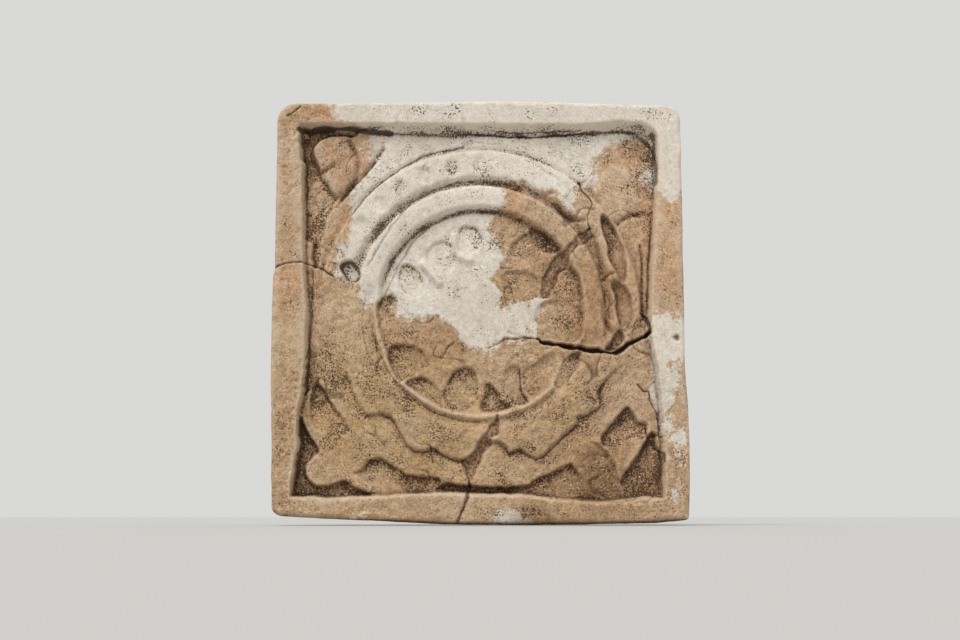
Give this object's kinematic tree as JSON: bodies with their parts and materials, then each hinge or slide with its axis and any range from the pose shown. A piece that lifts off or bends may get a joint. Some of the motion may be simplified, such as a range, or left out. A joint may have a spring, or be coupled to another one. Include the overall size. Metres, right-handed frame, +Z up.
{
  "type": "stove tile",
  "caption": "Nearly square fired-clay stove tile with a raised rim, a moulded rose and tracery, broken and rejoined with plaster fills.",
  "frame": {"origin": "middle of the flat back of the plate, inside the stump of the collar", "axes": "+Y out of the back, towards the stove; the carved face looks along -Y; +Z up, +X to the right seen from the front"},
  "size_m": [0.2026, 0.0268, 0.2083],
  "materials": {
    "fired_clay": "unglazed buff fired clay, matt, worn and dirty",
    "plaster": "off-white gypsum plaster, matt, smoothed by hand",
    "glue": "dark brown dried glue, slightly shiny"
  },
  "bodies": {
    "root": {"upper_left_sherd": "fired_clay", "lower_left_sherd": "fired_clay", "lower_right_sherd": "fired_clay", "right_sherd": "fired_clay", "ring_sherd": "fired_clay", "plaster_fill": "plaster", "rim_plaster_fill": "plaster", "lower_glue_fill": "glue", "ring_glue_fill": "glue"}
  },
  "joints": []
}
